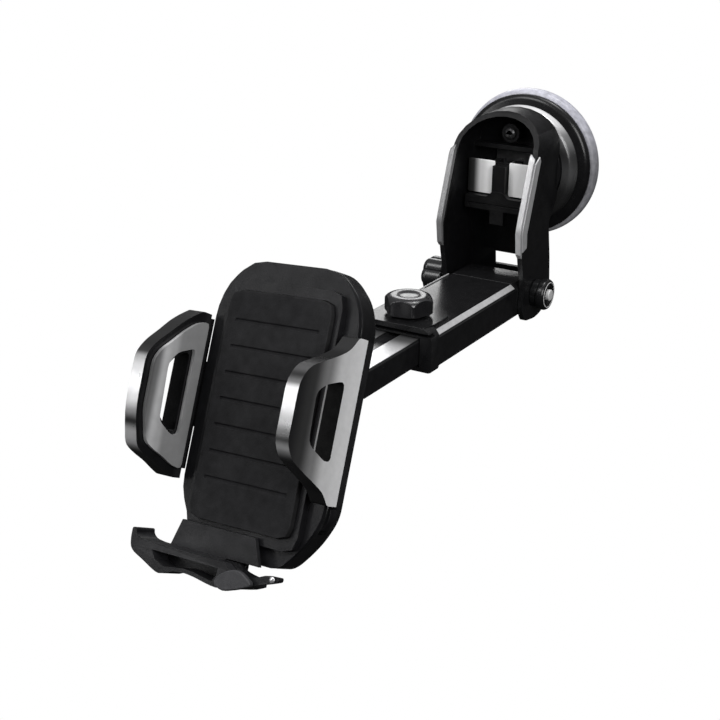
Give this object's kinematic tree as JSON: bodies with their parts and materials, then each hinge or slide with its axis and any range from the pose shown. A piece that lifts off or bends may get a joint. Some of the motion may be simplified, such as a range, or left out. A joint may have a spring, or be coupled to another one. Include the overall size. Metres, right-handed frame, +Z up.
{
  "type": "car phone mount",
  "caption": "Suction-cup phone holder with a hinged telescopic arm, a ball-jointed cradle, geared side clamps with windowed ears and a sliding foot.",
  "frame": {"origin": "centre of the suction cup's flat sticking face", "axes": "+Y out of the sticking face, towards the glass or dashboard; the arm runs back along -Y below it; +Z up; X along the arm's hinge bolt"},
  "size_m": [0.0857, 0.266, 0.1501],
  "materials": {
    "black_gloss": "polished black moulding",
    "black_matte": "fine matt dark grey moulding",
    "silver_satin": "satin silver plating on a moulding",
    "dark_plate": "dark chrome plating on a moulding",
    "steel": "zinc-plated steel",
    "gel": "translucent soft sticky gel",
    "rubber": "soft black rubber",
    "slide_plastic": "natural low-friction plastic"
  },
  "bodies": {
    "base": {"gel_pad": "gel", "cup_membrane": "rubber", "cup_cover": "black_gloss", "trim_ring": "dark_plate", "pull_stem": "steel", "yoke_bracket": "black_gloss", "yoke_trim_right": "silver_satin", "yoke_trim_left": "silver_satin", "cam_plate": "steel", "yoke_screw_top": "steel", "yoke_screw_right": "steel", "yoke_screw_left": "steel", "hinge_bolt": "steel", "bolt_collar": "black_gloss", "bolt_cap": "dark_plate", "hinge_washer": "steel"},
    "suction_lever": {"suction_lever": "black_gloss", "lever_panel_right": "silver_satin", "lever_panel_left": "silver_satin", "cross_pin": "steel"},
    "hinge_knob": {"hinge_knob": "dark_plate"},
    "outer_arm": {"tail_block": "black_gloss", "outer_tube": "black_gloss", "outer_trim_right": "silver_satin", "outer_trim_left": "silver_satin", "guide_right": "slide_plastic", "guide_left": "slide_plastic", "clamp_collar": "black_gloss"},
    "thumb_knob": {"thumb_knob": "dark_plate", "pressure_screw": "steel"},
    "inner_arm": {"inner_tube": "black_gloss", "inner_strip_right": "silver_satin", "inner_strip_left": "silver_satin", "end_stop": "slide_plastic", "ball_stud": "steel"},
    "seat_inner": {"ball_seat_inner": "slide_plastic"},
    "seat_outer": {"ball_seat_outer": "slide_plastic"},
    "cradle": {"cradle_back": "black_gloss", "cradle_front": "black_gloss", "back_pad": "rubber", "cradle_screw_top_right": "steel", "cradle_screw_top_left": "steel", "cradle_screw_low_right": "steel", "cradle_screw_low_left": "steel", "button_leaf": "steel"},
    "ball_nut": {"ball_nut": "black_gloss"},
    "clamp_right": {"clamp_arm_right": "black_gloss", "clamp_ear_right": "silver_satin", "ear_pad_right": "rubber"},
    "clamp_left": {"clamp_arm_left": "black_gloss", "clamp_ear_left": "silver_satin", "ear_pad_left": "rubber"},
    "pinion": {"pinion": "slide_plastic"},
    "release_button": {"release_button": "black_matte"},
    "foot": {"foot_stem": "black_gloss", "foot_tray": "black_gloss", "foot_lip": "black_matte", "foot_pin": "steel"}
  },
  "joints": [
    {"name": "lever_swing", "type": "hinge", "parent": "base", "child": "suction_lever", "pos_m": [0, -0.0275, 0], "axis": [-1, 0, 0], "range_deg": [0, 65]},
    {"name": "hinge_knob_turn", "type": "hinge", "parent": "base", "child": "hinge_knob", "pos_m": [-0.029, -0.037, -0.053], "axis": [-1, 0, 0], "continuous": true},
    {"name": "arm_tilt", "type": "hinge", "parent": "base", "child": "outer_arm", "pos_m": [0, -0.037, -0.053], "axis": [-1, 0, 0], "range_deg": [-80, 62]},
    {"name": "thumb_knob_turn", "type": "hinge", "parent": "outer_arm", "child": "thumb_knob", "pos_m": [0, -0.121, -0.041], "axis": [0, 0, 1], "continuous": true},
    {"name": "arm_extend", "type": "slide", "parent": "outer_arm", "child": "inner_arm", "axis": [0, -1, 0], "range_m": [-0.033, 0.007]},
    {"name": "ball_pan", "type": "hinge", "parent": "inner_arm", "child": "seat_inner", "pos_m": [0, -0.19134, -0.0564], "axis": [0, 0, 1], "range_deg": [-9, 9]},
    {"name": "ball_tilt", "type": "hinge", "parent": "seat_inner", "child": "seat_outer", "pos_m": [0, -0.19134, -0.0564], "axis": [1, 0, 0], "range_deg": [-1, 45]},
    {"name": "ball_roll", "type": "hinge", "parent": "seat_outer", "child": "cradle", "pos_m": [0, -0.19134, -0.0564], "axis": [-0.1275, -0.9001, 0.4167], "continuous": true},
    {"name": "ball_nut_turn", "type": "hinge", "parent": "cradle", "child": "ball_nut", "pos_m": [0, -0.19134, -0.0564], "axis": [-0.1275, -0.9001, 0.4167], "continuous": true},
    {"name": "clamp_right_slide", "type": "slide", "parent": "cradle", "child": "clamp_right", "axis": [0.9909, -0.097, 0.0936], "range_m": [-0.002, 0.012]},
    {"name": "clamp_left_slide", "type": "slide", "parent": "cradle", "child": "clamp_left", "axis": [-0.9909, 0.097, -0.0936], "range_m": [-0.002, 0.012]},
    {"name": "pinion_turn", "type": "hinge", "parent": "cradle", "child": "pinion", "pos_m": [-0.00272, -0.21682, -0.05396], "axis": [-0.1275, -0.9001, 0.4167], "range_deg": [-20, 116]},
    {"name": "release_press", "type": "slide", "parent": "cradle", "child": "release_button", "axis": [-0.9909, 0.097, -0.0936], "range_m": [0, 0.0018], "stiffness_N_per_m": 250, "springref_m": -0.002},
    {"name": "foot_slide", "type": "slide", "parent": "cradle", "child": "foot", "axis": [0.0438, -0.4248, -0.9042], "range_m": [0, 0.012]}
  ],
  "couplings": [
    {"joint": "clamp_left_slide", "follows": "clamp_right_slide", "ratio": 1},
    {"joint": "pinion_turn", "follows": "clamp_right_slide", "rad_per_m": 166.67}
  ]
}
